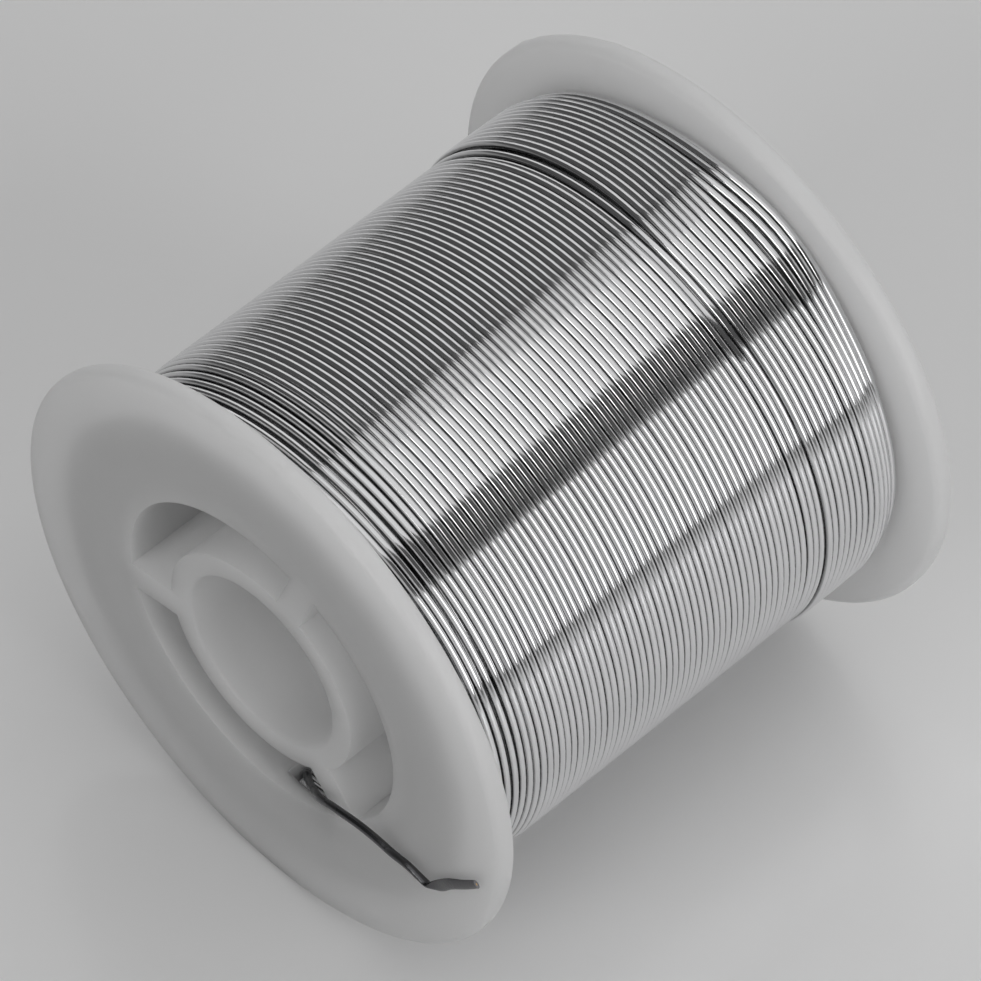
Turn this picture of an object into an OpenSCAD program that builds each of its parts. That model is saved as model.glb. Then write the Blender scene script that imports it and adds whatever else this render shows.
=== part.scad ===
// Spool of flux-cored solder wire, lying on the rims of its two flanges.
// Millimetres. +Z is up, the spool's axis runs along Y, the wire's tail comes out on the -Y side.
// The origin is on the table, under the middle of the spool.

/* [Spool] */
// Diameter of both flanges
flange_d = 66; // [62:0.5:80]
// Width over the outer faces of the flanges
overall_w = 62; // [54:0.5:72]
// Thickness of a flange where its outer face stands proud
flange_t = 2.6; // [2.2:0.1:3.6]
// Radius of the rounded edges of the rim
rim_r = 0.8; // [0.4:0.1:0.9]
// Amount that the outer face falls away towards the rim
rim_fall = 0.3; // [0:0.1:0.4]
// Height of the outer face above the ring of the hub
face_rise = 0.5; // [0.2:0.1:1]
// Radius where the outer face stops rising
rise_out_r = 23; // [22.5:0.5:24.5]
// Radius where the outer face starts to fall
fall_r = 28; // [27:0.5:29]

/* [Barrel and hub] */
// Outer diameter of the barrel that the wire is wound on
barrel_d = 40.6; // [40:0.2:42]
// Wall of the barrel
barrel_wall = 2; // [1.6:0.1:2.4]
// Diameter of the bore for the spindle
bore_d = 19.6; // [16:0.1:22]
// Wall of the tube round the bore
bore_wall = 2.7; // [2:0.1:3.2]
// Bevel at both mouths of the bore
bore_bevel = 0.3; // [0.1:0.1:0.6]
// Number of webs between the tube and the barrel
web_count = 3; // [3:1:4]
// Thickness of a web
web_t = 3.3; // [2.4:0.1:4]
// Angle of the first web
web_angle = 70.2; // [66:0.2:74]

/* [Wire window] */
// Angle of the middle of the window in the barrel
window_angle = 288; // [286:1:289]
// Width of the window round the barrel
window_w = 8.9; // [7:0.1:9.2]
// Depth from the hub's ring to the near corner of the window
window_lip = 1; // [0.6:0.1:1.4]
// Amount by which the window's outer edge slopes
window_slope = 0.9; // [0.4:0.1:1]
// Width of the straight stretch at the near corner
window_step = 2.2; // [1:0.1:3]
// Reach of the window past the inner face of the flange
window_reach = 2.9; // [2.2:0.1:4]

/* [Winding] */
// Outer diameter of the full winding
winding_d = 56.6; // [54:0.2:58]
// Diameter of the drawn turn of the outer layer
turn_d = 1.8; // [1.4:0.1:2]
// Least gap between two neighbouring turns
turn_gap = 0.45; // [0.42:0.01:0.8]
// Gap between the winding and the flanges
side_gap = 0.2; // [0.1:0.05:0.4]
// Running gap between the layers, and between winding and barrel
seat_gap = 0.05; // [0.02:0.01:0.1]
// Width of the sunken band of turns beside the near flange
sunk_w = 7.2; // [5:0.1:9]
// Depth of the sunken band
sunk_h = 0.5; // [0:0.1:0.8]
// Width of the raised band of turns beside the far flange
raised_w = 12.7; // [8:0.1:18]
// Height of the raised band
raised_h = 0.4; // [0:0.1:0.8]

/* [Wire] */
// Diameter of the solder wire
wire_d = 0.8; // [0.6:0.05:0.9]
// Gap between the tail and the face that it lies across
tail_gap = 0.1; // [0.02:0.02:0.2]
// Diameter of the flux core
core_d = 0.25; // [0.15:0.05:0.3]
// Gap between the flux core and the metal
core_gap = 0.02; // [0.01:0.01:0.04]

/* [Hidden] */

ROUND = 96;
WINDING_RINGS = 24;
WINDING_SIDES = 6;
TAIL_SIDES = 8;
RISE_STEPS = 8;
RIM_STEPS = 4;
CUT = 1;
WINDING_START = 250;

rim_radius = flange_d / 2;
bore_radius = bore_d / 2;
tube_radius = bore_radius + bore_wall;
barrel_radius = barrel_d / 2;
pocket_radius = barrel_radius - barrel_wall;
face_z = overall_w / 2;
hub_z = face_z - face_rise;
inside_z = face_z - flange_t;

winding_z = inside_z - side_gap;
turn_z = winding_z - turn_d / 2;
turns = floor(2 * turn_z / (turn_d + turn_gap));
pitch = 2 * turn_z / turns;
turn_radius = (winding_d - turn_d) / 2;
sunk_z = inside_z - sunk_w;
raised_z = raised_w - inside_z;

// Height of the tail where it lies across the face
over_z = face_z + wire_d / 2 + tail_gap;

// Room for the tail inside the barrel and outside it
pocket_reach = barrel_radius - tube_radius;
flange_reach = rim_radius - barrel_radius;

// The tail's route: angle past the middle of the window, place between the tube of the bore (-1),
// the barrel (0) and the rim (1), height along the spool, then width and thickness as shares of
// the wire's diameter. It starts square on the inner layers, passes the window and lies across
// the flange. The last rows are pinched flat, and the two rows before them are pinched on edge.
TAIL = [
    [-11.5, seat_gap / flange_reach, inside_z - 0.52 * window_reach, 1, 1],
    [-11.5, -0.103, inside_z - 0.52 * window_reach, 1, 1],
    [-10.5, -0.16, inside_z - 0.41 * window_reach, 1, 1],
    [-8, -0.199, inside_z - 0.24 * window_reach, 1, 1],
    [-4, -0.301, hub_z - 2 * window_lip, 1, 1],
    [2.5, -0.429, hub_z - 1.1 * window_lip, 1, 1],
    [10, -0.551, hub_z - 0.1 * window_lip, 1, 1],
    [16.5, -0.59, over_z - wire_d / 2, 1, 1],
    [23, -0.564, over_z - tail_gap, 1, 1],
    [29, -0.449, over_z, 1, 1],
    [34.5, -0.269, over_z, 1, 1],
    [39, -0.026, over_z, 1, 1],
    [42, 0.142, over_z, 1, 1],
    [45, 0.295, over_z, 1, 1],
    [46, 0.398, over_z, 0.8, 1],
    [47, 0.488, over_z, 0.6, 1],
    [49.5, 0.535, over_z, 1.2, 0.5],
    [55.5, 0.622, over_z, 1.4, 0.5],
    [60, 0.732, over_z, 1.3, 0.5],
    [64, 0.843, over_z, 1.2, 0.5]
];

function ease(t) = (1 - cos(180 * t)) / 2;
function ramp(t) = min(1, max(0, t));
function unit(v) = v / norm(v);

// Radius of the middle of a turn that lies at height z along the spool
function turn_radius_at(z) =
    turn_radius - sunk_h * ramp((z - sunk_z) / pitch) + raised_h * ramp((raised_z - z) / pitch);

// Radius of the inner layers, just below the flats of the turn above
function inner_radius_at(z) =
    (turn_radius_at(z + turn_d / 2) - turn_d / 2) * cos(180 / WINDING_RINGS) - seat_gap;

function turn_point(i) =
    let (angle = WINDING_START + 360 * i / WINDING_RINGS)
    let (z = -turn_z + pitch * i / WINDING_RINGS)
    let (r = turn_radius_at(z))
    [r * cos(angle), r * sin(angle), z];

function turn_direction(i) =
    let (angle = WINDING_START + 360 * i / WINDING_RINGS)
    unit([-sin(angle), cos(angle), 0]);

// Route of the outer layer: both ends run straight for one diameter
function winding_route() =
    let (last = turns * WINDING_RINGS)
    concat(
        [turn_point(0) - turn_d * turn_direction(0)],
        [for (i = [0 : last]) turn_point(i)],
        [turn_point(last) + turn_d * turn_direction(last)]
    );

// Least gap of a route to itself, one turn on
function least_gap(route, d) =
    min([
        for (i = [0 : len(route) - WINDING_RINGS - 2])
            for (j = [-1 : 1])
                norm(route[i + WINDING_RINGS + j] - route[i])
    ]) - d;

function tail_point(row) =
    let (angle = window_angle + row[0])
    let (radius = barrel_radius + row[1] * (row[1] < 0 ? pocket_reach : flange_reach))
    [radius * cos(angle), radius * sin(angle), row[2]];

function direction(route, i) =
    unit(route[min(i + 1, len(route) - 1)] - route[max(i - 1, 0)]);

// One ring of a tube: an oval square to the route
function ring(route, i, width, thickness, sides) =
    let (along = direction(route, i))
    let (across = unit(cross(along, [0, 0, 1])))
    let (up = cross(across, along))
    [
        for (k = [0 : sides - 1])
            route[i]
                + across * cos(360 * k / sides) * width / 2
                + up * sin(360 * k / sides) * thickness / 2
    ];

// Triangles along the outside of a tube, whose points start at a given number
function side_faces(rings, sides, start = 0) =
    [for (i = [0 : rings - 2]) for (k = [0 : sides - 1])
        let (a = start + i * sides, b = a + sides, next = (k + 1) % sides)
        each [[a + k, b + k, b + next], [a + k, b + next, a + next]]];

function reversed(faces) = [for (face = faces) [face[2], face[1], face[0]]];

// Triangles that close one end of a tube
function cap_faces(sides, start) =
    [for (k = [1 : sides - 2]) [start, start + k, start + k + 1]];

// Triangles that close one end of a pipe, between its outer and its inner ring
function rim_faces(sides, outer, inner) =
    [for (k = [0 : sides - 1])
        let (next = (k + 1) % sides)
        each [[outer + k, outer + next, inner + next], [outer + k, inner + next, inner + k]]];

// Rings along a route, with a width and a thickness for each of its points
function tube_points(route, widths, thicknesses, sides) =
    [for (i = [0 : len(route) - 1]) each ring(route, i, widths[i], thicknesses[i], sides)];

// A solid tube along a route
module tube(route, widths, thicknesses, sides) {
    last = (len(route) - 1) * sides;
    polyhedron(
        tube_points(route, widths, thicknesses, sides),
        concat(
            side_faces(len(route), sides),
            cap_faces(sides, 0),
            reversed(cap_faces(sides, last))
        )
    );
}

// Points of the tail at a given wire diameter
function tail_points(d) =
    tube_points(
        [for (row = TAIL) tail_point(row)],
        [for (row = TAIL) row[3] * d],
        [for (row = TAIL) row[4] * d],
        TAIL_SIDES
    );

// Lays the spool on its side: its axis goes along Y, and its near face looks to -Y
module lie() {
    translate([0, 0, rim_radius]) rotate([90, 0, 0]) children();
}

// Points of a rounded corner, from one angle to another
function corner(middle, r, from, to) =
    [for (i = [0 : RIM_STEPS])
        let (angle = from + (to - from) * i / RIM_STEPS)
        middle + r * [cos(angle), sin(angle)]];

// Section of one end of the moulding: bore, hub, rising face, rounded rim, barrel
function end_section() =
    let (rim_z = face_z - rim_fall)
    let (rim_middle = rim_radius - rim_r)
    concat(
        [[bore_radius, hub_z - bore_bevel]],
        [[bore_radius + bore_bevel, hub_z]],
        [for (i = [0 : RISE_STEPS])
            [
                barrel_radius + (rise_out_r - barrel_radius) * i / RISE_STEPS,
                hub_z + face_rise * ease(i / RISE_STEPS)
            ]],
        [[fall_r, face_z]],
        corner([rim_middle, rim_z - rim_r], rim_r, 90, 0),
        corner([rim_middle, inside_z + rim_r], rim_r, 0, -90),
        [[barrel_radius, inside_z]]
    );

// The turned form of the moulding, with the same section at both ends
module turned_body() {
    end = end_section();
    last = len(end) - 1;
    rotate_extrude($fn = ROUND)
        polygon(concat(end, [for (i = [0 : last]) [end[last - i][0], -end[last - i][1]]]));
}

// The webs that carry the barrel on the tube of the bore
module webs() {
    for (i = [0 : web_count - 1]) {
        rotate([0, 0, web_angle + 360 * i / web_count])
            translate([bore_radius, -web_t / 2, -face_z - 3 * CUT])
                cube([barrel_radius - bore_radius, web_t, overall_w + 6 * CUT]);
    }
}

// The pockets between the webs, open from face to face
module pockets() {
    difference() {
        cylinder(h = overall_w + 2 * CUT, r = pocket_radius, center = true, $fn = ROUND);
        cylinder(h = overall_w + 4 * CUT, r = tube_radius, center = true, $fn = ROUND);
        webs();
    }
}

// The window that lets the wire's inner end out of the barrel
module window() {
    half = window_w / 2;
    far_edge = hub_z - (flange_t - face_rise + window_reach);
    rotate([0, 0, window_angle])
        translate([pocket_radius - CUT, 0, 0])
            rotate([90, 0, 90])
                linear_extrude(barrel_wall + 1.5 * CUT)
                    polygon([
                        [-half, far_edge],
                        [half, far_edge],
                        [half, hub_z - window_lip],
                        [half - window_step, hub_z - window_lip],
                        [-half, hub_z - window_lip - window_slope]
                    ]);
}

module spool_moulding() {
    color("whitesmoke") lie() difference() {
        turned_body();
        pockets();
        window();
    }
}

// The lower layers of wire, with the steps that the outer layer lies on
module inner_layers() {
    foot = turn_d / 2;
    steps = [
        -winding_z,
        raised_z - pitch - foot,
        raised_z - foot,
        sunk_z - foot,
        sunk_z + pitch - foot,
        winding_z
    ];
    color("dimgray") lie() rotate_extrude($fn = ROUND)
        polygon(concat(
            [[barrel_radius + seat_gap, winding_z], [barrel_radius + seat_gap, -winding_z]],
            [for (z = steps) [inner_radius_at(z), z]]
        ));
}

// The outer layer of turns, one unbroken tube from flange to flange
module outer_layer() {
    route = winding_route();
    widths = [for (point = route) turn_d];
    echo("turns in the outer layer", turns);
    echo("least gap of the outer layer to itself, mm", least_gap(route, turn_d));
    color("silver") lie() tube(route, widths, widths, WINDING_SIDES);
}

// The wire's inner end, a pipe round its flux core
module wire_tail() {
    rings = len(TAIL);
    inner = rings * TAIL_SIDES;
    last = (rings - 1) * TAIL_SIDES;
    color("silver") lie() polyhedron(
        concat(tail_points(wire_d), tail_points(core_d + 2 * core_gap)),
        concat(
            side_faces(rings, TAIL_SIDES),
            reversed(side_faces(rings, TAIL_SIDES, inner)),
            rim_faces(TAIL_SIDES, 0, inner),
            reversed(rim_faces(TAIL_SIDES, last, inner + last))
        )
    );
}

// The thread of flux that fills the tail
module flux_core() {
    rings = len(TAIL);
    color("goldenrod") lie() polyhedron(
        tail_points(core_d),
        concat(
            side_faces(rings, TAIL_SIDES),
            cap_faces(TAIL_SIDES, 0),
            reversed(cap_faces(TAIL_SIDES, (rings - 1) * TAIL_SIDES))
        )
    );
}

spool_moulding();
inner_layers();
outer_layer();
wire_tail();
flux_core();
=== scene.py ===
"""Spool of flux-cored solder wire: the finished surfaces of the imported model.

The spool lies on the rims of its flanges, with its axis along Y. Sizes are in metres, or in
millimetres where a comment says so. A place on the spool is given by an angle round the axis, a
radius and a place along Y. The angle starts at +X and grows towards +Z, seen from the -Y side.
"""

import logging
import math
from dataclasses import dataclass, field
from enum import Enum
from typing import Callable, List, Sequence, Tuple

import bpy
import numpy as np
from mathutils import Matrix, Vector


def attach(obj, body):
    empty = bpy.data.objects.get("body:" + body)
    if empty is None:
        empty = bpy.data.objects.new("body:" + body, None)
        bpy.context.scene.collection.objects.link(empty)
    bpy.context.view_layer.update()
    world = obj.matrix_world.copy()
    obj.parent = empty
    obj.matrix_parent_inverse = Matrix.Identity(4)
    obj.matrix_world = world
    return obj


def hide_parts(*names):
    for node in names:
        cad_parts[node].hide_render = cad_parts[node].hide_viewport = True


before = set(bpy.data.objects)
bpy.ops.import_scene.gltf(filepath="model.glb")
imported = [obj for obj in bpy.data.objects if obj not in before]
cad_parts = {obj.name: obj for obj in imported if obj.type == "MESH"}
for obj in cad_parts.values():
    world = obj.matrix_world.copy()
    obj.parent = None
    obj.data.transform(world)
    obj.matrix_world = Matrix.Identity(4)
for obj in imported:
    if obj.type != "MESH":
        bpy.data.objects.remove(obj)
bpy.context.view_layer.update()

logging.basicConfig(level=logging.INFO, format="%(message)s")
LOG = logging.getLogger("solder_spool")

MM = 0.001
AXIS_HEIGHT = 33.0 * MM
BODY = "root"
GROOVE = "groove"
SAME_PLACE = 1e-6

# Places that several pieces share, in millimetres
BARREL = 20.3
HUB_FACE = 30.5
INSIDE = 28.4

Array = np.ndarray
Piece = bpy.types.Object
Point = Tuple[float, float]
Place = Tuple[float, float, float]
Tone = Tuple[float, float, float]
Route = Tuple[np.ndarray, np.ndarray]


# ---- Bench: small helpers round Blender's own modelling tools


class Shading(Enum):
    """The angle in degrees up to which each kind of surface is shaded smooth."""

    TURNED = 40.0
    PINCHED = 50.0
    WOUND = 60.0


def deselect_all() -> None:
    """Leaves edit mode and clears the selection."""
    if bpy.context.object is not None and bpy.context.object.mode != "OBJECT":
        bpy.ops.object.mode_set(mode="OBJECT")
    bpy.ops.object.select_all(action="DESELECT")


def make_active(piece: Piece) -> None:
    """Makes one object the only selected and active one.

    Args:
        piece: the object to work on.
    """
    deselect_all()
    piece.select_set(True)
    bpy.context.view_layer.objects.active = piece


def start_ring(name: str, sides: int, radius: float, middle: Place = (0, 0, 0)) -> Piece:
    """Adds a ring of points and edges in the plane of X and Y.

    Args:
        name: the new object's name.
        sides: number of points.
        radius: the ring's radius.
        middle: the ring's middle.

    Returns:
        The new object, in object mode.
    """
    deselect_all()
    bpy.ops.mesh.primitive_circle_add(vertices=sides, radius=radius, location=middle)
    piece = bpy.context.object
    piece.name = piece.data.name = name
    return piece


def start_point(name: str, place: Vector) -> Piece:
    """Adds a mesh that is one point, ready to be drawn out into a line.

    Args:
        name: the new object's name.
        place: where the point lies.

    Returns:
        The new object, in edit mode with its point selected.
    """
    piece = start_ring(name, 3, MM)
    bpy.ops.object.mode_set(mode="EDIT")
    bpy.ops.mesh.select_all(action="SELECT")
    bpy.ops.mesh.merge(type="CENTER")
    bpy.ops.transform.translate(value=place)
    return piece


def draw_line(points: Sequence[Vector]) -> None:
    """Extrudes the selected point of the mesh in edit mode along a row of places.

    Args:
        points: the places, the first of which is where the selected point lies.
    """
    for before, after in zip(points, points[1:]):
        bpy.ops.mesh.extrude_region_move(TRANSFORM_OT_translate={"value": after - before})


def on_spool(radius: float, along: float, angle: float = 0.0) -> Vector:
    """A place on the spool.

    Args:
        radius: distance from the spool's axis.
        along: place along Y.
        angle: angle round the axis, in degrees.

    Returns:
        The place in the shared frame.
    """
    turn = math.radians(angle)
    return Vector((radius * math.cos(turn), along, AXIS_HEIGHT + radius * math.sin(turn)))


def face_outwards() -> None:
    """Turns all faces outwards and leaves edit mode."""
    bpy.ops.mesh.select_all(action="SELECT")
    bpy.ops.mesh.normals_make_consistent(inside=False)
    bpy.ops.object.mode_set(mode="OBJECT")


def turned_piece(name: str, section: Sequence[Point], steps: int) -> Piece:
    """Turns a section round the spool's axis.

    Args:
        name: the new object's name.
        section: (radius, place along Y) of the closed section's points, in order.
        steps: number of steps round the axis.

    Returns:
        The turned mesh, in object mode, with its faces outwards.
    """
    points = [on_spool(radius, along) for radius, along in section]
    piece = start_point(name, points[0])
    draw_line(points + points[:1])
    bpy.ops.mesh.select_all(action="SELECT")
    bpy.ops.mesh.remove_doubles(threshold=SAME_PLACE)
    bpy.ops.mesh.select_all(action="SELECT")
    bpy.ops.mesh.spin(
        steps=steps, angle=2 * math.pi, center=(0, 0, AXIS_HEIGHT), axis=(0, 1, 0)
    )
    bpy.ops.mesh.select_all(action="SELECT")
    bpy.ops.mesh.remove_doubles(threshold=SAME_PLACE)
    face_outwards()
    return piece


def block_on_spool(radius: float, along: float, angle: float, size: Place) -> Piece:
    """Adds a block that is turned with its place round the axis.

    Args:
        radius: distance of its middle from the axis.
        along: place of its middle along Y.
        angle: angle round the axis, in degrees.
        size: its size outwards, along Y and round the axis.

    Returns:
        The block.
    """
    deselect_all()
    bpy.ops.mesh.primitive_cube_add(
        size=1, location=on_spool(radius, along, angle), rotation=(0, -math.radians(angle), 0),
        scale=size,
    )
    return bpy.context.object


def cut_away(piece: Piece, cutter: Piece) -> None:
    """Takes the cutter's form out of a piece and deletes the cutter.

    Args:
        piece: the piece that is cut.
        cutter: the closed form to take away.
    """
    apply_modifier(piece, "BOOLEAN", operation="DIFFERENCE", solver="EXACT", object=cutter)
    bpy.data.objects.remove(cutter)


def apply_modifier(piece: Piece, kind: str, **settings: object) -> None:
    """Adds a modifier with its settings and applies it.

    Args:
        piece: the piece that gets it.
        kind: the modifier's type.
        settings: the modifier's properties.
    """
    make_active(piece)
    modifier = piece.modifiers.new(kind.lower(), kind)
    for key, value in settings.items():
        setattr(modifier, key, value)
    bpy.ops.object.modifier_apply(modifier=modifier.name)


def weld(piece: Piece, reach: float) -> None:
    """Joins corners that lie almost on each other and drops faces without area.

    Args:
        piece: the piece that is cleaned.
        reach: how far apart two joined corners may lie.
    """
    make_active(piece)
    bpy.ops.object.mode_set(mode="EDIT")
    bpy.ops.mesh.select_all(action="SELECT")
    bpy.ops.mesh.remove_doubles(threshold=reach)
    bpy.ops.mesh.dissolve_degenerate(threshold=reach)
    face_outwards()


def close_ends(piece: Piece) -> None:
    """Fills a tube's open ends and turns its faces outwards.

    Args:
        piece: the open tube.
    """
    make_active(piece)
    bpy.ops.object.mode_set(mode="EDIT")
    bpy.ops.mesh.select_all(action="DESELECT")
    bpy.ops.mesh.select_non_manifold()
    bpy.ops.mesh.edge_face_add()
    face_outwards()


def shade(piece: Piece, shading: Shading) -> None:
    """Shades a piece smooth wherever its faces meet at a small enough angle.

    Args:
        piece: the piece.
        shading: the kind of surface.
    """
    make_active(piece)
    bpy.ops.object.shade_smooth_by_angle(angle=math.radians(shading.value))


def read_vertices(piece: Piece) -> Array:
    """The places of a mesh's vertices, one row each.

    Args:
        piece: a mesh object.

    Returns:
        An array of n rows and 3 columns.
    """
    flat = np.empty(3 * len(piece.data.vertices))
    piece.data.vertices.foreach_get("co", flat)
    return flat.reshape(-1, 3)


def write_vertices(piece: Piece, places: Array) -> None:
    """Moves a mesh's vertices.

    Args:
        piece: a mesh object.
        places: an array of n rows and 3 columns.
    """
    piece.data.vertices.foreach_set("co", np.ascontiguousarray(places, dtype=float).ravel())
    piece.data.update()


def smooth_step(value: Array) -> Array:
    """Rises smoothly from 0 to 1 as the value goes from 0 to 1."""
    t = np.clip(value, 0.0, 1.0)
    return t * t * (3.0 - 2.0 * t)


def ramp(value: Array, span: Point) -> Array:
    """Rises smoothly from 0 to 1 over a span.

    Args:
        value: where to read the ramp.
        span: where it starts, and over how much it rises.

    Returns:
        The share reached.
    """
    return smooth_step((value - span[0]) / span[1])


def bell(value: Array, shape: Point) -> Array:
    """A bump of height 1, given by its middle and its width."""
    return np.exp(-(((value - shape[0]) / shape[1]) ** 2))


def between(value: Array, ends: Tuple[float, float, float, float]) -> Array:
    """A share that rises smoothly from 0 to 1 and falls again.

    Args:
        value: where to read the share.
        ends: where it starts to rise, is full, starts to fall and is gone.

    Returns:
        The share.
    """
    low, full, full_end, high = ends
    return smooth_step((value - low) / (full - low)) * (
        1 - smooth_step((value - full_end) / (high - full_end))
    )


def ripple(number: Array, side: Array, pace: Point) -> Array:
    """A wave that runs with the turn's number and the angle, at its own pace in each."""
    return np.sin(number * pace[0] + side * pace[1])


def arc(middle: Point, radius: float, start: float, end: float, steps: int) -> List[Point]:
    """Points of an arc in a section.

    Args:
        middle: the arc's middle as (radius, along).
        radius: the arc's own radius.
        start: first angle in degrees.
        end: last angle in degrees.
        steps: number of steps.

    Returns:
        The points, from the first angle to the last.
    """
    angles = [math.radians(start + (end - start) * i / steps) for i in range(steps + 1)]
    return [(middle[0] + radius * math.cos(a), middle[1] + radius * math.sin(a)) for a in angles]


# ---- Shared effects: node groups that give values and normals


class EffectGroup:
    """A shader node group that takes a Vector and named values and gives one output."""

    def __init__(self, name: str, values: Sequence[str], output: str, kind: str) -> None:
        """Starts the group with its sockets.

        Args:
            name: the group's name.
            values: names of the float inputs.
            output: the output's name.
            kind: the output's socket type.
        """
        self.tree = bpy.data.node_groups.new(name, "ShaderNodeTree")
        sockets = [("Vector", "INPUT", "NodeSocketVector")]
        sockets += [(value, "INPUT", "NodeSocketFloat") for value in values]
        for socket, direction, form in sockets + [(output, "OUTPUT", kind)]:
            self.tree.interface.new_socket(name=socket, in_out=direction, socket_type=form)
        self.given = self.tree.nodes.new("NodeGroupInput").outputs
        self.result = self.tree.nodes.new("NodeGroupOutput").inputs[output]

    def node(self, kind: str, **settings: object) -> bpy.types.Node:
        """Adds a node with its settings.

        Args:
            kind: the node's type.
            settings: the node's properties.

        Returns:
            The new node.
        """
        made = self.tree.nodes.new(kind)
        for key, value in settings.items():
            setattr(made, key, value)
        return made

    def noise(self, detail: float) -> bpy.types.Node:
        """Adds a noise fed by the group's Vector and Size.

        Args:
            detail: the noise's detail.

        Returns:
            The noise node.
        """
        made = self.node("ShaderNodeTexNoise")
        made.inputs["Detail"].default_value = detail
        self.link(self.given["Vector"], made.inputs["Vector"])
        self.link(self.given["Size"], made.inputs["Scale"])
        return made

    def link(self, source: bpy.types.NodeSocket, target: bpy.types.NodeSocket) -> None:
        """Links two sockets."""
        self.tree.links.new(source, target)


def build_cloudiness() -> bpy.types.NodeTree:
    """Soft, uneven patches, as moulded plastic and handled metal have.

    Returns:
        A group with the inputs Vector, Size, Low and High, and the output Value.
    """
    group = EffectGroup("cloudiness", ("Size", "Low", "High"), "Value", "NodeSocketFloat")
    noise = group.noise(4.0)
    span = group.node("ShaderNodeMapRange", interpolation_type="SMOOTHSTEP")
    span.inputs["From Min"].default_value = 0.2
    span.inputs["From Max"].default_value = 0.8
    group.link(noise.outputs["Fac"], span.inputs["Value"])
    group.link(group.given["Low"], span.inputs["To Min"])
    group.link(group.given["High"], span.inputs["To Max"])
    group.link(span.outputs["Result"], group.result)
    return group.tree


def build_fine_bump() -> bpy.types.NodeTree:
    """Fine unevenness of a surface.

    Returns:
        A group with the inputs Vector, Size and Height, and the output Normal.
    """
    group = EffectGroup("fine_bump", ("Size", "Height"), "Normal", "NodeSocketVector")
    noise = group.noise(3.0)
    bump = group.node("ShaderNodeBump")
    bump.inputs["Strength"].default_value = 1.0
    group.link(noise.outputs["Fac"], bump.inputs["Height"])
    group.link(group.given["Height"], bump.inputs["Distance"])
    group.link(bump.outputs["Normal"], group.result)
    return group.tree


def build_specks() -> bpy.types.NodeTree:
    """Few small specks, as dust or dark grains leave in pale plastic.

    Returns:
        A group with the inputs Vector, Size, Reach and Share, and the output Mask.
    """
    group = EffectGroup("specks", ("Size", "Reach", "Share"), "Mask", "NodeSocketFloat")
    cells = group.node("ShaderNodeTexVoronoi")
    near = group.node("ShaderNodeMath", operation="LESS_THAN")
    parts = group.node("ShaderNodeSeparateColor")
    chosen = group.node("ShaderNodeMath", operation="LESS_THAN")
    both = group.node("ShaderNodeMath", operation="MULTIPLY")
    group.link(group.given["Vector"], cells.inputs["Vector"])
    group.link(group.given["Size"], cells.inputs["Scale"])
    group.link(cells.outputs["Distance"], near.inputs[0])
    group.link(group.given["Reach"], near.inputs[1])
    group.link(cells.outputs["Color"], parts.inputs["Color"])
    group.link(parts.outputs["Red"], chosen.inputs[0])
    group.link(group.given["Share"], chosen.inputs[1])
    group.link(near.outputs["Value"], both.inputs[0])
    group.link(chosen.outputs["Value"], both.inputs[1])
    group.link(both.outputs["Value"], group.result)
    return group.tree


@dataclass
class Effects:
    """The shared node groups, built once."""

    cloudiness: bpy.types.NodeTree = field(default_factory=build_cloudiness)
    fine_bump: bpy.types.NodeTree = field(default_factory=build_fine_bump)
    specks: bpy.types.NodeTree = field(default_factory=build_specks)


# ---- Finishes


class MaterialSheet:
    """One material with its Principled shader and its coordinates."""

    def __init__(self, name: str) -> None:
        """Starts a material.

        Args:
            name: the material's name.
        """
        self.material = bpy.data.materials.new(name)
        self.material.use_nodes = True
        self.nodes = self.material.node_tree.nodes
        self.links = self.material.node_tree.links
        self.shader = self.nodes["Principled BSDF"]
        self.coordinates = self.nodes.new("ShaderNodeTexCoord")

    def effect(self, tree: bpy.types.NodeTree, **values: float) -> bpy.types.Node:
        """Places a shared effect, fed by Object coordinates.

        Args:
            tree: the node group.
            values: the group's inputs by name.

        Returns:
            The group node.
        """
        node = self.nodes.new("ShaderNodeGroup")
        node.node_tree = tree
        self.links.new(self.coordinates.outputs["Object"], node.inputs["Vector"])
        for key, value in values.items():
            node.inputs[key].default_value = value
        return node

    def mix_tones(self, first: Tone, second: Tone, share: bpy.types.NodeSocket) -> None:
        """Mixes two tones into the shader's base colour.

        Args:
            first: the tone where the share is 0.
            second: the tone where the share is 1.
            share: the socket that gives the share.
        """
        tones = self.nodes.new("ShaderNodeMix")
        tones.data_type = "RGBA"
        tones.inputs["A"].default_value = (*first, 1.0)
        tones.inputs["B"].default_value = (*second, 1.0)
        self.links.new(share, tones.inputs["Factor"])
        self.links.new(tones.outputs["Result"], self.shader.inputs["Base Color"])


@dataclass(frozen=True)
class Finish:
    """What every finish has: a tone, an uneven roughness and, with a grain_height, a fine bump."""

    name: str
    tone: Tone
    roughness_low: float
    roughness_high: float
    cloud_size: float
    grain_size: float = 0.0
    grain_height: float = 0.0

    def build(self, effects: Effects) -> bpy.types.Material:
        """Makes the material.

        Args:
            effects: the shared node groups.

        Returns:
            The finished material.
        """
        sheet = MaterialSheet(self.name)
        self.colour(sheet, effects)
        clouds = sheet.effect(
            effects.cloudiness, Size=self.cloud_size, Low=self.roughness_low, High=self.roughness_high
        )
        sheet.links.new(clouds.outputs["Value"], sheet.shader.inputs["Roughness"])
        if self.grain_height > 0:
            grain = sheet.effect(effects.fine_bump, Size=self.grain_size, Height=self.grain_height)
            sheet.links.new(grain.outputs["Normal"], sheet.shader.inputs["Normal"])
        return sheet.material

    def colour(self, sheet: MaterialSheet, effects: Effects) -> None:
        """Gives the shader its tone; a finish with more than one tone does this its own way."""
        sheet.shader.inputs["Base Color"].default_value = (*self.tone, 1.0)


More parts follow.
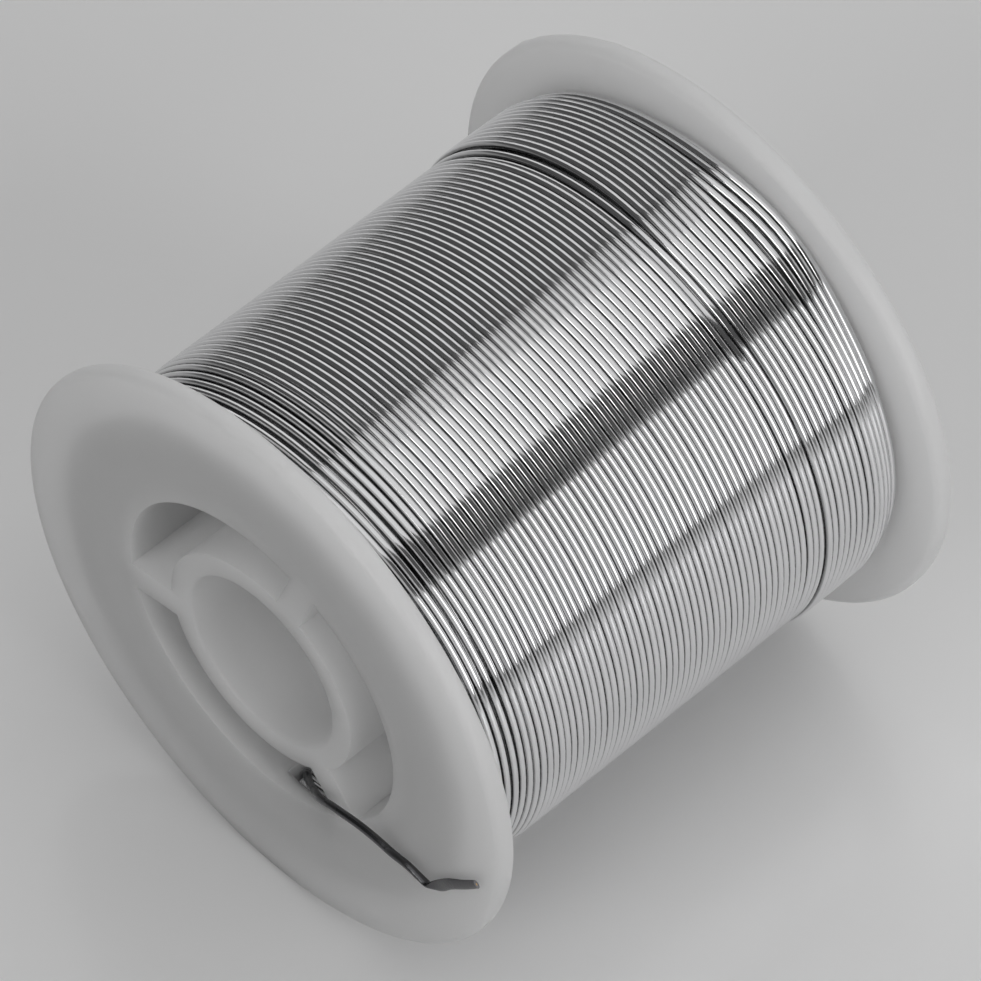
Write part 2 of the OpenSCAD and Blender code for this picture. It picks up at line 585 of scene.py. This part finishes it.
@dataclass(frozen=True)
class PlasticFinish(Finish):
    """Natural, slightly translucent moulded plastic."""

    name: str = "natural_plastic"
    tone: Tone = (0.90, 0.90, 0.90)
    roughness_low: float = 0.35
    roughness_high: float = 0.45
    cloud_size: float = 90.0
    grain_size: float = 700.0
    grain_height: float = 0.000004
    speck_tone: Tone = (0.12, 0.12, 0.12)
    speck_cells: float = 150.0
    speck_reach: float = 0.018
    speck_share: float = 0.16
    glow: float = 1.0
    glow_reach: float = 14.0 * MM
    refraction: float = 1.49

    def colour(self, sheet: MaterialSheet, effects: Effects) -> None:
        """Gives the plastic its tone with specks, and lets light through.

        Args:
            sheet: the material.
            effects: the shared node groups.
        """
        specks = sheet.effect(
            effects.specks, Size=self.speck_cells, Reach=self.speck_reach, Share=self.speck_share
        )
        sheet.mix_tones(self.tone, self.speck_tone, specks.outputs["Mask"])
        shader = sheet.shader.inputs
        shader["Subsurface Weight"].default_value = self.glow
        shader["Subsurface Radius"].default_value = (1.0, 1.0, 1.0)
        shader["Subsurface Scale"].default_value = self.glow_reach
        shader["IOR"].default_value = self.refraction


@dataclass(frozen=True)
class SolderFinish(Finish):
    """Drawn solder wire."""

    name: str = "bright_solder"
    tone: Tone = (0.80, 0.80, 0.81)
    roughness_low: float = 0.07
    roughness_high: float = 0.11
    cloud_size: float = 160.0
    grain_size: float = 900.0
    grain_height: float = 0.0000004
    # Painted shade: the darker tone laid deep in the groove where two turns touch.
    painted_groove_shade: Tone = (0.20, 0.20, 0.20)
    groove_shade_start: float = 0.70

    def colour(self, sheet: MaterialSheet, effects: Effects) -> None:
        """Makes the shader a metal with painted shade deep between two turns.

        Args:
            sheet: the material.
            effects: the shared node groups; not used.
        """
        groove = sheet.nodes.new("ShaderNodeAttribute")
        groove.attribute_name = GROOVE
        span = sheet.nodes.new("ShaderNodeMapRange")
        span.inputs["From Min"].default_value = self.groove_shade_start
        span.inputs["From Max"].default_value = 1.0
        sheet.links.new(groove.outputs["Fac"], span.inputs["Value"])
        sheet.mix_tones(self.tone, self.painted_groove_shade, span.outputs["Result"])
        sheet.shader.inputs["Metallic"].default_value = 1.0


@dataclass(frozen=True)
class RosinFinish(Finish):
    """Amber rosin flux."""

    name: str = "rosin_flux"
    tone: Tone = (0.55, 0.33, 0.10)
    roughness_low: float = 0.15
    roughness_high: float = 0.35
    cloud_size: float = 900.0


def dress(piece: Piece, material: bpy.types.Material) -> None:
    """Gives a piece its only material.

    Args:
        piece: the piece.
        material: its finish.
    """
    piece.data.materials.clear()
    piece.data.materials.append(material)


# ---- The moulded spool


@dataclass
class SpoolMoulding:
    """The one-piece moulding: two flanges, barrel, bore tube, webs and window."""

    rim_radius: float = 33.0 * MM
    face: float = 31.0 * MM
    hub_face: float = HUB_FACE * MM
    inside: float = INSIDE * MM
    rim_fall: float = 0.35 * MM
    rim_round: float = 0.9 * MM
    rise_start: float = 18.8 * MM
    rise_end: float = 23.0 * MM
    fall_start: float = 25.5 * MM
    bore_radius: float = 9.8 * MM
    tube_radius: float = 12.5 * MM
    pocket_radius: float = 18.3 * MM
    barrel_radius: float = BARREL * MM
    web_thickness: float = 3.3 * MM
    web_length: float = 10 * MM
    # Length of the block that leaves a web, as a multiple of half the cutter's length
    web_span: float = 2.4
    web_angles: Tuple[float, ...] = (70.2, 190.2, 310.2)
    mouth_round: float = 0.35 * MM
    edge_round: float = 0.10 * MM
    # How near two corners lie to be joined, before the edges are rounded and after
    corner_weld: float = 0.03 * MM
    cut_weld: float = 0.002 * MM
    # Least angle in degrees of an edge that is rounded
    round_from: float = 50.0
    # Angle, half width in degrees and height of the mould's flash on the far rim
    flash: Tuple[Tuple[float, float, float], ...] = (
        (142, 2.4, 0.16 * MM), (137, 2, 0.08 * MM), (114, 3, 0.12 * MM), (109, 2, 0.14 * MM),
        (9, 2.4, 0.10 * MM), (4, 2, 0.16 * MM), (-5, 2.4, 0.12 * MM),
    )
    window_angle: float = 285.8
    window_width: float = 7.4 * MM
    window_middle: float = 19.25 * MM
    window_reach: float = 4.0 * MM
    # How far in from the hub's face the window starts and ends
    window_depths: Point = (1.0 * MM, 5.0 * MM)
    # The near corner that is cut back: its angle, how far that reaches and by how much
    corner_angle: float = 11.0
    corner_reach: float = 3.0 * MM
    corner_lift: float = 0.9 * MM
    flash_band: float = 0.3 * MM
    overshoot: float = 4 * MM
    steps: int = 224

    def end_section(self, side: int) -> List[Point]:
        """Section of one end, from the bore over the rim to the barrel.

        Args:
            side: -1 for the end at -Y, 1 for the end at +Y.

        Returns:
            The section's points.
        """
        rim_face = self.face - self.rim_fall
        rim_middle = self.rim_radius - self.rim_round
        points = arc(
            (self.bore_radius + self.mouth_round, self.hub_face - self.mouth_round),
            self.mouth_round, 180, 90, 4,
        )
        points.append((self.tube_radius, self.hub_face))
        points.append((self.pocket_radius, self.hub_face))
        rise = self.rise_end - self.rise_start
        for i in range(11):
            share = i / 10
            height = (self.face - self.hub_face) * (1 - math.cos(math.pi * share)) / 2
            points.append((self.rise_start + rise * share, self.hub_face + height))
        fall = rim_middle - self.fall_start
        for i in range(9):
            share = i / 8
            points.append((self.fall_start + fall * share, self.face - self.rim_fall * share**2))
        points += arc((rim_middle, rim_face - self.rim_round), self.rim_round, 82, 0, 8)
        points += arc((rim_middle, self.inside + self.rim_round), self.rim_round, 0, -90, 8)
        points += arc(
            (self.barrel_radius + self.mouth_round, self.inside - self.mouth_round),
            self.mouth_round, 90, 180, 3,
        )
        return [(radius, side * along) for radius, along in points]

    def section(self) -> List[Point]:
        """The whole section as one closed line."""
        return self.end_section(-1) + self.end_section(1)[::-1]

    def pocket_cutter(self) -> Piece:
        """The form of the three pockets between the webs.

        Returns:
            A mesh of three closed forms.
        """
        reach = self.face + self.overshoot
        section = [
            (self.tube_radius, -reach), (self.pocket_radius, -reach),
            (self.pocket_radius, reach), (self.tube_radius, reach),
        ]
        cutter = turned_piece("pocket_cutter", section, self.steps)
        middle = (self.tube_radius + self.pocket_radius) / 2
        web = (self.web_length, self.web_span * reach, self.web_thickness)
        for angle in self.web_angles:
            cut_away(cutter, block_on_spool(middle, 0, angle, web))
        return cutter

    def window_cutter(self) -> Piece:
        """The form of the window that the wire's inner end comes through.

        Returns:
            A closed mesh.
        """
        depth_low, depth_high = self.window_depths
        middle = -(self.hub_face - (depth_low + depth_high) / 2)
        cutter = block_on_spool(
            self.window_middle, middle, self.window_angle,
            (self.window_reach, depth_high - depth_low, self.window_width),
        )
        cutter.name = "window_cutter"
        bpy.ops.object.transform_apply(location=True, rotation=True, scale=True)
        corner = on_spool(
            self.window_middle, -(self.hub_face - depth_low), self.window_angle - self.corner_angle
        )
        for vertex in cutter.data.vertices:
            if vertex.co.y < middle and (vertex.co - corner).length < self.corner_reach:
                vertex.co.y += self.corner_lift
        return cutter

    def leave_flash(self, piece: Piece) -> None:
        """Pulls small burrs out of the far rim, where the mould's halves met.

        Args:
            piece: the turned moulding.
        """
        places = read_vertices(piece)
        across, upright = places[:, 0], places[:, 2] - AXIS_HEIGHT
        reach = np.hypot(across, upright)
        angle = np.degrees(np.arctan2(upright, across))
        edge = (reach > self.rim_radius - self.flash_band) & (places[:, 1] > 0)
        grown = np.zeros_like(reach)
        for middle, half, height in self.flash:
            away = np.abs((angle - middle + 180) % 360 - 180)
            grown = np.maximum(grown, height * np.clip(1 - away / half, 0, 1))
        share = 1 + np.where(edge, grown / np.maximum(reach, MM), 0)
        places[:, 0] = across * share
        places[:, 2] = AXIS_HEIGHT + upright * share
        write_vertices(piece, places)

    def build(self, finish: bpy.types.Material) -> Piece:
        """Makes and dresses the moulding.

        Args:
            finish: the plastic.

        Returns:
            The finished piece.
        """
        piece = turned_piece("spool_body", self.section(), self.steps)
        self.leave_flash(piece)
        cut_away(piece, self.pocket_cutter())
        weld(piece, self.corner_weld)
        apply_modifier(
            piece, "BEVEL", width=self.edge_round, segments=2, limit_method="ANGLE",
            angle_limit=math.radians(self.round_from), use_clamp_overlap=True,
        )
        weld(piece, self.cut_weld)
        cut_away(piece, self.window_cutter())
        weld(piece, self.cut_weld)
        shade(piece, Shading.TURNED)
        dress(piece, finish)
        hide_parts("spool_moulding")
        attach(piece, BODY)
        return piece


# ---- The wound wire


@dataclass
class WoundLayer:
    """One layer of turns, drawn as one unbroken wire."""

    name: str
    route: Callable[[Array], Route]
    turns: float
    handed: int
    sides: int = 8
    steps: int = 96
    wire_radius: float = 0.4 * MM
    start_angle: float = 240.0

    WIDE_PITCH = 2.0 * MM
    WIDE_RADIUS = 20.0 * MM

    def build(self) -> Piece:
        """Screws a round section into a loose helix, then lays it along the layer's route.

        Returns:
            The layer's mesh.
        """
        piece = start_ring(self.name, self.sides, self.wire_radius, (self.WIDE_RADIUS, 0, 0))
        bpy.ops.object.transform_apply(location=True, rotation=True, scale=True)
        apply_modifier(
            piece, "SCREW", axis="Y", angle=2 * math.pi, screw_offset=self.WIDE_PITCH,
            iterations=math.ceil(self.turns), steps=self.steps, render_steps=self.steps,
            use_smooth_shade=True, use_merge_vertices=False,
        )
        self.lay(piece)
        close_ends(piece)
        shade(piece, Shading.WOUND)
        return piece

    def lay(self, piece: Piece) -> None:
        """Moves every ring of the loose helix to its place on the spool.

        Args:
            piece: the loose helix.
        """
        places = read_vertices(piece)
        angle = np.arctan2(places[:, 2], places[:, 0])
        share = self.screw_sense(places) * angle / (2 * math.pi)
        share = share % 1.0
        turn = np.round(places[:, 1] / self.WIDE_PITCH - share) + share
        radial = np.hypot(places[:, 0], places[:, 2]) - self.WIDE_RADIUS
        axial = places[:, 1] - turn * self.WIDE_PITCH
        radius, along = self.route(turn)
        theta = np.radians(self.start_angle) + self.handed * 2 * math.pi * turn
        places[:, 0] = (radius + radial) * np.cos(theta)
        places[:, 1] = along + axial
        places[:, 2] = AXIS_HEIGHT + (radius + radial) * np.sin(theta)
        write_vertices(piece, places)
        # The groove value masks the painted shade between turns: 0 on a wire's top, 1 at its sides
        # where the turns touch.
        groove = piece.data.attributes.new(GROOVE, "FLOAT", "POINT")
        groove.data.foreach_set("value", np.abs(axial) / self.wire_radius)

    def screw_sense(self, places: Array) -> int:
        """Which way the loose helix turns: 1 if its angle grows along +Y, otherwise -1.

        Args:
            places: the loose helix's vertices.

        Returns:
            1 or -1.
        """
        low = places[:, 1] < 0.3 * self.WIDE_PITCH
        return 1 if np.mean(places[low, 2]) > 0 else -1


@dataclass
class Winding:
    """The wound wire: the top layer, the layer under it, the first layer and the body between.

    Places along the spool are measured from the ring of the near hub. A turn is numbered where it
    passes the spool's upper right side, at the angle READ_ANGLE.
    """

    pitch: float = 0.7875 * MM
    hub_face: float = -HUB_FACE * MM
    near_end: float = -28.0 * MM
    far_end: float = 28.0 * MM
    top_radius: float = 27.9 * MM
    first_radius: float = 20.75 * MM
    core_radii: Point = (21.1 * MM, 26.2 * MM)
    start_angle: float = 240.0
    top_turns: float = 69.9
    under_turns: float = 70.0
    first_turns: float = 8.0
    core_steps: int = 96
    wander: float = 0.018 * MM

    READ_ANGLE = 70.0
    # Angles round the spool run from this far below 0 to a full turn more
    SIDE_START = 110.0
    # Places in millimetres of the turns near the flange, of the first even one, at the gap and far
    # away; LAST_EVEN is the last even turn's number
    NEAR_TURNS = (2.5, 3.4, 4.5, 5.33, 6.4, 7.42, 8.28, 9.1, 9.9, 10.7, 11.5)
    FIRST_EVEN = 12.31
    LAST_EVEN = 52
    GAP_TURNS = (45.5, 46.35, 47.1)
    FAR_TURNS = (
        47.88, 48.67, 49.47, 50.28, 51.1, 51.9, 52.72, 53.55,
        54.42, 55.2, 56.0, 56.95, 57.7, 58.2, 58.3,
    )
    # A turn's number, and how far it is pushed along the spool, in millimetres
    BULGE = ((62, 0.0), (64, 0.1), (65, 0.45), (66, 0.62), (67, 0.6), (68, 0.7), (69, 0.3))

    # In millimetres, how much a turn leans, how much more far away, and where along the spool that
    # changes; LEAN_LOST is the share that the last turns lose
    LEAN, LEAN_MORE = 0.24, 0.12
    LEAN_GROWS, LEAN_STARTS, LEAN_ENDS, LEAN_LOST = (12, 30), (2.2, 3.0), (54, 4), 0.8
    # Spans of turns, as the first turn and the number of turns that a change takes
    BAND_STARTS, BAND_ENDS = (55.2, 0.7), (61, 5)
    SWING_STARTS, SWING_ENDS, HUMP_ENDS = (0.5, 1.5), (4, 4), (1, 2)
    LOW_ENDS, SUNK_STARTS, SUNK_ENDS, STEP = (4.5, 4.0), (53.3, 0.4), (54.3, 0.4), (55.1, 0.8)
    CLIMB_STARTS, DROP_STARTS, LAST_STARTS = (64, 3.5), (65.5, 2), (68.1, 0.4)
    # Angles round the spool, as a middle and a width, or as the ends of an arc
    LEAN_ANGLE, SWING_ANGLE = (50, 22), (64, 14)
    CLIMB_ANGLE, HUMP_ANGLE, HIGH_ANGLE = (66, 15), (40, 12), (68, 28)
    BAND_ARC, SUNK_ARC = (72, 100, 170, 230), (42, 66, 140, 170)
    # Amounts along the spool and outwards, in millimetres
    BAND, SWING, HUMP = 0.42, 0.2, 0.12
    LOW, SUNK, RAISED, HIGH, DROP, LAST_DROP = 0.5, 0.38, 0.35, 0.25, 0.5, 0.55
    # Paces of the waves in the laying, their shares of the wander, and the last turns' own waves
    SLOW_WAVE, FAST_WAVE, OUT_WAVE = (2.4, 0.031), (5.1, 0.073), (3.7, 0.05)
    FAST_SHARE, OUT_SHARE = 0.6, 0.4
    LOOSE_ALONG, LOOSE_OUT = (0.05, 0.21), (0.06, 0.33)
    # The layer under the top one, in millimetres: how much lower it lies, and where along the
    # spool it has left its low start and where it steps up
    UNDER, UNDER_LOW_ENDS, UNDER_STEP = 0.69, (7, 3), (48, 1.0)

    def places(self) -> Array:
        """Lays the numbered turns along the spool.

        Returns:
            Each turn's place, in millimetres from the near hub.
        """
        near = list(self.NEAR_TURNS)
        even = [
            self.FIRST_EVEN + self.pitch / MM * i for i in range(self.LAST_EVEN - len(near) + 1)
        ]
        return np.array(near + even + list(self.GAP_TURNS) + list(self.FAR_TURNS))

    def top_route(self, turn: Array) -> Route:
        """Route of the top layer.

        Args:
            turn: number of turns from the near flange.

        Returns:
            The radius and the place along Y of the wire's middle.
        """
        table = self.places()
        number = turn - (self.start_angle - self.READ_ANGLE) / 360.0
        theta = self.start_angle - 360.0 * turn
        side = (theta + self.SIDE_START) % 360.0 - self.SIDE_START
        whole = np.floor(turn + (180.0 - (self.start_angle % 360.0)) / 360.0)
        high = bell(side, self.HIGH_ANGLE)
        last = ramp(number, self.LAST_STARTS) * (1 - high)
        place = np.interp(number, np.arange(len(table)), table)
        place = place - self.pitch / MM * np.clip(-number, 0, 1)
        place = self.lean(place, side)
        place = self.crowd(place, number, side)
        amount, pace = self.LOOSE_ALONG
        place = place + last * amount * np.sin(side * pace)
        radius = self.height(number, side, high)
        amount, pace = self.LOOSE_OUT
        radius = radius - last * (self.LAST_DROP + amount * np.sin(side * pace))
        # No hand or machine lays wire quite evenly
        slow, fast = ripple(whole, side, self.SLOW_WAVE), ripple(whole, side, self.FAST_WAVE)
        place = place + self.wander / MM * (slow + self.FAST_SHARE * fast)
        radius = radius + self.OUT_SHARE * self.wander / MM * ripple(whole, side, self.OUT_WAVE)
        return radius * MM, np.minimum(self.hub_face + place * MM, self.far_end)

    def lean(self, place: Array, side: Array) -> Array:
        """Leans every turn a little, more so towards the far flange.

        Args:
            place: places along the spool, in millimetres.
            side: angles round the spool, in degrees.

        Returns:
            The new places.
        """
        lean = self.LEAN + self.LEAN_MORE * ramp(place, self.LEAN_GROWS)
        lean = lean * ramp(place, self.LEAN_STARTS) * (1 - self.LEAN_LOST * ramp(place, self.LEAN_ENDS))
        middle, width = self.LEAN_ANGLE
        # A turn stays where it is at the angle where its number is read
        still = math.tanh((self.READ_ANGLE - middle) / width)
        return place - lean * (np.tanh((side - middle) / width) - still)

    def crowd(self, place: Array, number: Array, side: Array) -> Array:
        """Shifts the turns near both flanges, where the wire turns back.

        Args:
            place: places along the spool, in millimetres.
            number: the turns' numbers.
            side: angles round the spool, in degrees.

        Returns:
            The new places.
        """
        # The far band stands away from the gap at the top of the spool
        band = ramp(number, self.BAND_STARTS) * (1 - ramp(number, self.BAND_ENDS))
        place = place + self.BAND * band * between(side, self.BAND_ARC)
        # The last turns are pushed towards the flange where the wire climbs
        numbers, amounts = zip(*self.BULGE)
        place = place + np.interp(number, numbers, amounts) * bell(side, self.CLIMB_ANGLE)
        # The first turns swing out where the wire starts its way back
        swing = ramp(number, self.SWING_STARTS) * (1 - ramp(number, self.SWING_ENDS))
        middle, width = self.SWING_ANGLE
        place = place - self.SWING * swing * np.tanh((side - middle) / width)
        return place + self.HUMP * (1 - ramp(number, self.HUMP_ENDS)) * bell(side, self.HUMP_ANGLE)

    def height(self, number: Array, side: Array, high: Array) -> Array:
        """How far out the top layer's turns lie.

        Args:
            number: the turns' numbers.
            side: angles round the spool, in degrees.
            high: share of the side where the last turns climb.

        Returns:
            The radius of the wire's middle, in millimetres.
        """
        radius = np.full_like(number, self.top_radius / MM)
        radius = radius - self.LOW * (1 - ramp(number, self.LOW_ENDS))
        sunk = ramp(number, self.SUNK_STARTS) * (1 - ramp(number, self.SUNK_ENDS))
        radius = radius - self.SUNK * sunk * between(side, self.SUNK_ARC)
        radius = radius + self.RAISED * ramp(number, self.STEP)
        radius = radius + self.HIGH * ramp(number, self.CLIMB_STARTS) * high
        return radius - self.DROP * ramp(number, self.DROP_STARTS) * (1 - high)

    def under_route(self, turn: Array) -> Route:
        """Route of the layer under the top one, wound back the other way.

        Args:
            turn: number of turns from the near flange.

        Returns:
            The radius and the place along Y of the wire's middle.
        """
        along = self.near_end + self.pitch * turn
        place = (along - self.hub_face) / MM
        radius = self.top_radius - self.UNDER * MM
        radius = radius - self.LOW * MM * (1 - ramp(place, self.UNDER_LOW_ENDS))
        radius = radius + self.RAISED * MM * ramp(place, self.UNDER_STEP)
        return radius, np.minimum(along, self.far_end)

    def first_route(self, turn: Array) -> Route:
        """Route of the first layer, which shows through the window in the barrel."""
        return np.full_like(turn, self.first_radius), self.near_end + self.pitch * turn

    def core(self) -> Piece:
        """The layers in between, closed in as one body.

        Returns:
            A turned ring.
        """
        inner, outer = self.core_radii
        section = [
            (inner, self.near_end), (inner, self.far_end),
            (outer, self.far_end), (outer, self.near_end),
        ]
        return turned_piece("layers_between", section, self.core_steps)

    def build(self, metal: bpy.types.Material) -> List[Piece]:
        """Makes and dresses the wound wire.

        Args:
            metal: the solder.

        Returns:
            The pieces.
        """
        top = WoundLayer(
            "top_turns", self.top_route, self.top_turns, handed=-1, sides=12, steps=112,
            start_angle=self.start_angle,
        ).build()
        under = WoundLayer("under_turns", self.under_route, self.under_turns, handed=1).build()
        first = WoundLayer("first_turns", self.first_route, self.first_turns, handed=-1).build()
        core = self.core()
        shade(core, Shading.TURNED)
        dress(top, metal)
        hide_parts("outer_layer")
        for piece in (under, first, core):
            dress(piece, metal)
            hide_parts("inner_layers")
        pieces = [top, under, first, core]
        for piece in pieces:
            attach(piece, BODY)
        return pieces


# ---- The wire's inner end


@dataclass
class WireTail:
    """The inner end of the wire, led out through the window and laid across the flange."""

    wire_radius: float = 0.4 * MM
    window_angle: float = 288.0
    # Places in millimetres
    barrel: float = BARREL
    hub: float = HUB_FACE
    inside: float = INSIDE
    over: float = 31.5
    sides: int = 20
    rings_per_row: int = 8

    def rows(self) -> List[Tuple[float, float, float, float, float]]:
        """The points of the route.

        Returns:
            Angle, radius and height in millimetres, and width and thickness as shares.
        """
        b, hub, over, inside = self.barrel, self.hub, self.over, self.inside
        return [
            (-11.5, b + 0.05, inside - 1.5, 1, 1),
            (-11.5, b - 0.8, inside - 1.5, 1, 1),
            (-10.5, b - 1.25, inside - 1.2, 1, 1),
            (-8, b - 1.55, inside - 0.7, 1, 1),
            (-4, b - 2.35, hub - 2, 0.8, 1),
            (1.9, b - 3.35, hub - 1.1, 0.65, 1),
            (9.2, b - 4.3, hub - 0.1, 0.65, 1),
            (15.8, b - 4.6, hub + 0.6, 0.8, 1),
            (23, b - 4.4, hub + 0.9, 1, 1),
            (29, b - 3.5, over, 1.1, 1),
            (34.5, b - 2.1, over, 1.15, 1),
            (39, b - 0.2, over, 1.15, 1),
            (42, b + 1.8, over, 1.15, 1),
            (45, b + 3.75, over, 1, 1),
            (46, b + 5.05, over, 0.8, 1),
            (47, b + 6.2, over, 0.6, 1),
            (49.5, b + 6.8, over, 1.4, 0.5),
            (55.5, b + 7.9, over, 1.6, 0.5),
            (60, b + 9.3, over, 1.4, 0.5),
            (64, b + 10.7, over, 1.2, 0.5),
        ]

    def build(self, metal: bpy.types.Material) -> Piece:
        """Makes and dresses the tail.

        Args:
            metal: the handled solder, whose dark tone is painted shade.

        Returns:
            The finished piece.
        """
        rows = self.rows()
        places = [
            on_spool(radius * MM, -along * MM, self.window_angle + angle)
            for angle, radius, along, _, _ in rows
        ]
        rings = self.rings_per_row * (len(rows) - 1) + 1
        route, widths, flats = self.smooth_route(places, rows, rings)
        piece = start_ring("tail_wire", self.sides, self.wire_radius)
        bpy.ops.object.mode_set(mode="EDIT")
        bpy.ops.mesh.select_all(action="SELECT")
        for _ in range(rings - 1):
            bpy.ops.mesh.extrude_region_move(
                TRANSFORM_OT_translate={"value": (0, 0, self.wire_radius)}
            )
        bpy.ops.object.mode_set(mode="OBJECT")
        self.lay(piece, route, widths, flats)
        close_ends(piece)
        shade(piece, Shading.PINCHED)
        dress(piece, metal)
        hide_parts("wire_tail")
        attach(piece, BODY)
        return piece

    def smooth_route(
        self, places: Sequence[Vector], rows: Sequence[Tuple[float, ...]], rings: int
    ) -> Tuple[Array, Array, Array]:
        """Runs a smooth curve through the route's points.

        Args:
            places: the points.
            rows: the rows that they come from, with their widths and thicknesses.
            rings: number of rings wanted.

        Returns:
            The rings' middles, and each ring's width and thickness as shares.
        """
        table = np.array([[*place, row[3], row[4]] for place, row in zip(places, rows)])
        steps = np.linalg.norm(np.diff(table[:, :3], axis=0), axis=1)
        knots = np.concatenate([[0], np.cumsum(steps)])
        wanted = np.linspace(0, knots[-1], rings)
        slopes = np.gradient(table, knots, axis=0)
        index = np.clip(np.searchsorted(knots, wanted, side="right") - 1, 0, len(knots) - 2)
        width = (knots[index + 1] - knots[index])[:, None]
        t = ((wanted - knots[index]) / width[:, 0])[:, None]
        # A cubic curve with the points' own slopes
        made = (
            (2 * t**3 - 3 * t**2 + 1) * table[index]
            + (t**3 - 2 * t**2 + t) * width * slopes[index]
            + (3 * t**2 - 2 * t**3) * table[index + 1]
            + (t**3 - t**2) * width * slopes[index + 1]
        )
        return made[:, :3], made[:, 3], made[:, 4]

    def lay(self, piece: Piece, route: Array, widths: Array, flats: Array) -> None:
        """Puts every ring of the straight tube on the route.

        Args:
            piece: the straight tube, along +Z.
            route: the rings' middles.
            widths: each ring's width as a share.
            flats: each ring's thickness as a share.
        """
        places = read_vertices(piece)
        ring = np.round(places[:, 2] / self.wire_radius).astype(int)
        along = np.gradient(route, axis=0)
        along /= np.linalg.norm(along, axis=1)[:, None]
        across = np.cross(along, np.array([0.0, -1.0, 0.0]))
        across /= np.linalg.norm(across, axis=1)[:, None]
        up = np.cross(across, along)
        made = (
            route[ring]
            + across[ring] * (places[:, 0] * widths[ring])[:, None]
            + up[ring] * (places[:, 1] * flats[ring])[:, None]
        )
        write_vertices(piece, made)


# ---- Studio


@dataclass(frozen=True)
class SoftPanel:
    """A rectangular soft light."""

    name: str
    middle: Place
    aim: Place
    width: float
    depth: float
    brightness: float

    def build(self) -> None:
        """Adds the light, unseen by the camera."""
        lamp = bpy.data.lights.new(self.name, "AREA")
        lamp.shape = "RECTANGLE"
        lamp.size = self.width
        lamp.size_y = self.depth
        lamp.energy = self.brightness * math.pi * self.width * self.depth
        holder = bpy.data.objects.new(self.name, lamp)
        holder.location = self.middle
        facing = Vector(self.aim) - Vector(self.middle)
        holder.rotation_euler = facing.to_track_quat("-Z", "Y").to_euler()
        holder.visible_camera = False
        bpy.context.scene.collection.objects.link(holder)


@dataclass
class Studio:
    """Camera, floor and lights.

    The floor shows in its pale floor_tone, and sends light on to the spool in the darker
    floor_bounce.
    """

    camera_place: Place = (0.32964, -0.31968, 0.62460)
    camera_tilt: float = 37.79
    camera_turn: float = 45.87
    lens: float = 283.15
    floor_tone: float = 0.90
    floor_bounce: float = 0.40
    floor_roughness: float = 0.15
    floor_width: float = 12.0
    world_tone: float = 0.075

    def camera(self) -> None:
        """Adds the camera and makes it the scene's."""
        data = bpy.data.cameras.new("camera")
        data.lens = self.lens
        data.sensor_width = 36.0
        data.sensor_fit = "HORIZONTAL"
        data.clip_start = 0.01
        data.clip_end = 20.0
        holder = bpy.data.objects.new("camera", data)
        holder.location = self.camera_place
        holder.rotation_euler = (math.radians(self.camera_tilt), 0, math.radians(self.camera_turn))
        bpy.context.scene.collection.objects.link(holder)
        bpy.context.scene.camera = holder

    def floor(self) -> None:
        """Adds a wide pale floor."""
        deselect_all()
        bpy.ops.mesh.primitive_plane_add(size=self.floor_width, location=(0, 0, 0))
        floor = bpy.context.object
        floor.name = floor.data.name = "floor"
        sheet = MaterialSheet("pale_floor")
        path = sheet.nodes.new("ShaderNodeLightPath")
        seen = path.outputs["Is Camera Ray"]
        for ray in ("Is Glossy Ray", "Is Transmission Ray"):
            either = sheet.nodes.new("ShaderNodeMath")
            either.operation = "MAXIMUM"
            sheet.links.new(seen, either.inputs[0])
            sheet.links.new(path.outputs[ray], either.inputs[1])
            seen = either.outputs["Value"]
        sheet.mix_tones((self.floor_bounce,) * 3, (self.floor_tone,) * 3, seen)
        sheet.shader.inputs["Roughness"].default_value = self.floor_roughness
        floor.data.materials.append(sheet.material)

    def panels(self) -> Tuple[SoftPanel, ...]:
        """The soft lights round and over the spool.

        Returns:
            The panels.
        """
        return (
            SoftPanel("overhead", (0.065, 0.2, 0.63), (0.065, 0.2, 0), 0.47, 2.0, 0.68),
            SoftPanel("right_wide", (0.62, 0.15, 0.33), (0, 0.15, 0.33), 2.1, 0.57, 0.42),
            SoftPanel("right_bright", (0.60, 0.08, 0.33), (0, 0.08, 0.33), 0.48, 0.56, 1.3),
            SoftPanel("front_small", (0.09, -0.80, 0.45), (0.0, 0.0, 0.03), 0.50, 0.28, 3.1),
            SoftPanel("left_back", (-0.44, 0.57, 0.39), (0, 0.57, 0.179), 0.86, 0.83, 0.68),
            SoftPanel("back_low", (0.05, 1.15, 0.25), (0.05, 0, 0.25), 1.0, 0.5, 0.50),
        )

    def build(self) -> None:
        """Sets up the camera, the floor, the lights and the world."""
        self.camera()
        self.floor()
        for panel in self.panels():
            panel.build()
        world = bpy.data.worlds.new("studio")
        bpy.context.scene.world = world
        world.use_nodes = True
        background = world.node_tree.nodes["Background"]
        background.inputs["Color"].default_value = (self.world_tone,) * 3 + (1.0,)
        background.inputs["Strength"].default_value = 1.0
        bpy.context.scene.view_settings.view_transform = "Standard"


def main() -> None:
    """Builds the studio and the spool's pieces in order, and reports each piece."""
    effects = Effects()
    Studio().build()
    plastic = PlasticFinish().build(effects)
    bright = SolderFinish().build(effects)
    # The tail is the same solder. Handling makes it dull, which the roughness and grain give; its much
    # darker tone is painted shade.
    handled = SolderFinish(
        name="handled_shaded_solder", tone=(0.12, 0.12, 0.125), roughness_low=0.18, roughness_high=0.32,
        grain_size=2500.0, grain_height=0.00002,
    ).build(effects)
    rosin = RosinFinish().build(effects)
    pieces = [SpoolMoulding().build(plastic), *Winding().build(bright), WireTail().build(handled)]
    dress(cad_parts["flux_core"], rosin)
    for piece in pieces:
        LOG.info("%s: %d faces", piece.name, len(piece.data.polygons))
    deselect_all()


if __name__ == "__main__":
    main()
